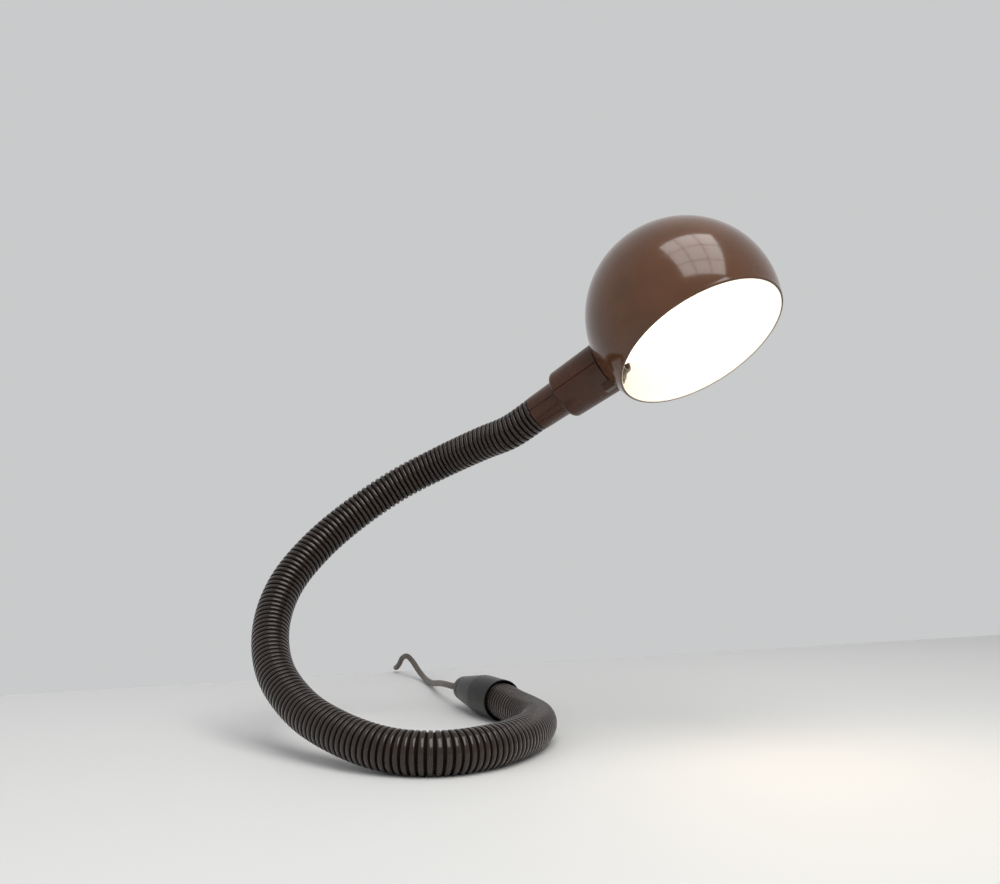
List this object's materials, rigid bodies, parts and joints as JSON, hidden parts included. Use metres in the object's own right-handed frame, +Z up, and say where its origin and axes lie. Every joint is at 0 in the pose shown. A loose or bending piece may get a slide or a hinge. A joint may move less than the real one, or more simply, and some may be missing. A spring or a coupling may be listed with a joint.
{
  "type": "gooseneck desk lamp",
  "caption": "Desk lamp with a ribbed bendable neck whose lower end lies as an open hook for a base, a ball shade with a slanted mouth, a small bulb, and a mains lead with a switch and plug",
  "frame": {"origin": "middle of the lamp's footprint without its mains lead, on the desk plane under the resting hook", "axes": "+Z up; +Y away from the viewer, where the end cap and the lead point; +X to the side the shade hangs over"},
  "size_m": [0.3833, 0.705, 0.3723],
  "materials": {
    "sheath": "satin ribbed plastic",
    "spine_steel": "bare spring steel",
    "cord": "dull brown-grey",
    "cap_black": "satin near black",
    "zinc": "zinc plated",
    "brass": "plain brass",
    "housing_brown": "glossy dark brown",
    "holder_black": "moulded black",
    "bulb_glass": "pearl glass",
    "stem_glass": "clear glass",
    "cap_nickel": "nickel plated",
    "filament": "glowing wire",
    "insulator": "black glass-like insulator with a solder tip",
    "shade_lacquer": "glossy brown lacquer outside, white inside",
    "tie": "woven black strap",
    "switch_dark": "satin dark brown",
    "rocker_cream": "cream"
  },
  "bodies": {
    "base": {"sheath_base": "sheath", "bellows_1": "sheath", "spine_base": "spine_steel", "lead_base": "cord", "end_cap": "cap_black", "end_cap_screw": "zinc", "bottom_ferrule": "zinc", "cord_grip": "cap_black", "cord_run": "cord", "cord_coil": "cord", "cord_tie": "tie", "switch_lower": "switch_dark", "switch_upper": "switch_dark", "switch_contacts": "brass", "switch_screws": "zinc", "plug_body": "switch_dark", "plug_pins": "cap_nickel"},
    "arm_1": {"sheath_1": "sheath", "bellows_2": "sheath", "spine_1": "spine_steel", "lead_1": "cord"},
    "arm_2": {"sheath_2": "sheath", "bellows_3": "sheath", "spine_2": "spine_steel", "lead_2": "cord"},
    "arm_3": {"sheath_3": "sheath", "bellows_4": "sheath", "spine_3": "spine_steel", "lead_3": "cord"},
    "arm_4": {"sheath_4": "sheath", "bellows_5": "sheath", "spine_4": "spine_steel", "lead_4": "cord"},
    "head": {"sheath_head": "sheath", "spine_head": "spine_steel", "lead_head": "cord", "top_ferrule": "zinc", "nipple": "brass", "locknut": "brass", "housing_upper": "housing_brown", "housing_lower": "housing_brown", "housing_screws": "zinc", "lampholder": "holder_black", "lampholder_shell": "brass", "centre_contact": "brass", "terminal_screws": "brass", "shade_ring": "holder_black", "bulb_glass": "bulb_glass", "bulb_cap": "cap_nickel", "bulb_contact": "insulator", "bulb_stem": "stem_glass", "bulb_filament": "filament"},
    "shade": {"shade": "shade_lacquer"},
    "rocker": {"switch_rocker": "rocker_cream"}
  },
  "joints": [
    {"name": "neck_tilt_1", "type": "hinge", "parent": "base", "child": "arm_1", "pos_m": [-0.13519, -0.07043, 0.02813], "axis": [0.7311, 0.6823, 0], "range_deg": [-15, 15], "deforming": ["bellows_1"]},
    {"name": "neck_swing_1", "type": "hinge", "parent": "arm_1", "child": "arm_2", "pos_m": [-0.17231, -0.01557, 0.06162], "axis": [0.1967, -0.5583, 0.806], "range_deg": [-15, 15], "deforming": ["bellows_2"]},
    {"name": "neck_tilt_2", "type": "hinge", "parent": "arm_2", "child": "arm_3", "pos_m": [-0.16836, 0.04002, 0.11647], "axis": [0.8149, -0.5796, 0], "range_deg": [-20, 20], "deforming": ["bellows_3"]},
    {"name": "neck_swing_2", "type": "hinge", "parent": "arm_3", "child": "arm_4", "pos_m": [-0.11988, 0.07155, 0.16743], "axis": [-0.5724, -0.1597, 0.8043], "range_deg": [-20, 20], "deforming": ["bellows_4"]},
    {"name": "neck_tilt_3", "type": "hinge", "parent": "arm_4", "child": "head", "pos_m": [-0.05339, 0.0711, 0.20619], "axis": [-0.3397, -0.9405, 0], "range_deg": [-20, 20], "deforming": ["bellows_5"]},
    {"name": "shade_turn", "type": "hinge", "parent": "head", "child": "shade", "pos_m": [0.06919, -0.00256, 0.26952], "axis": [0.7568, -0.4548, 0.4695], "range_deg": [-150, 150]},
    {"name": "rocker", "type": "hinge", "parent": "base", "child": "rocker", "pos_m": [-0.14906, 0.44765, 0.0125], "axis": [-0.9563, -0.2924, 0], "range_deg": [-8, 8]}
  ]
}
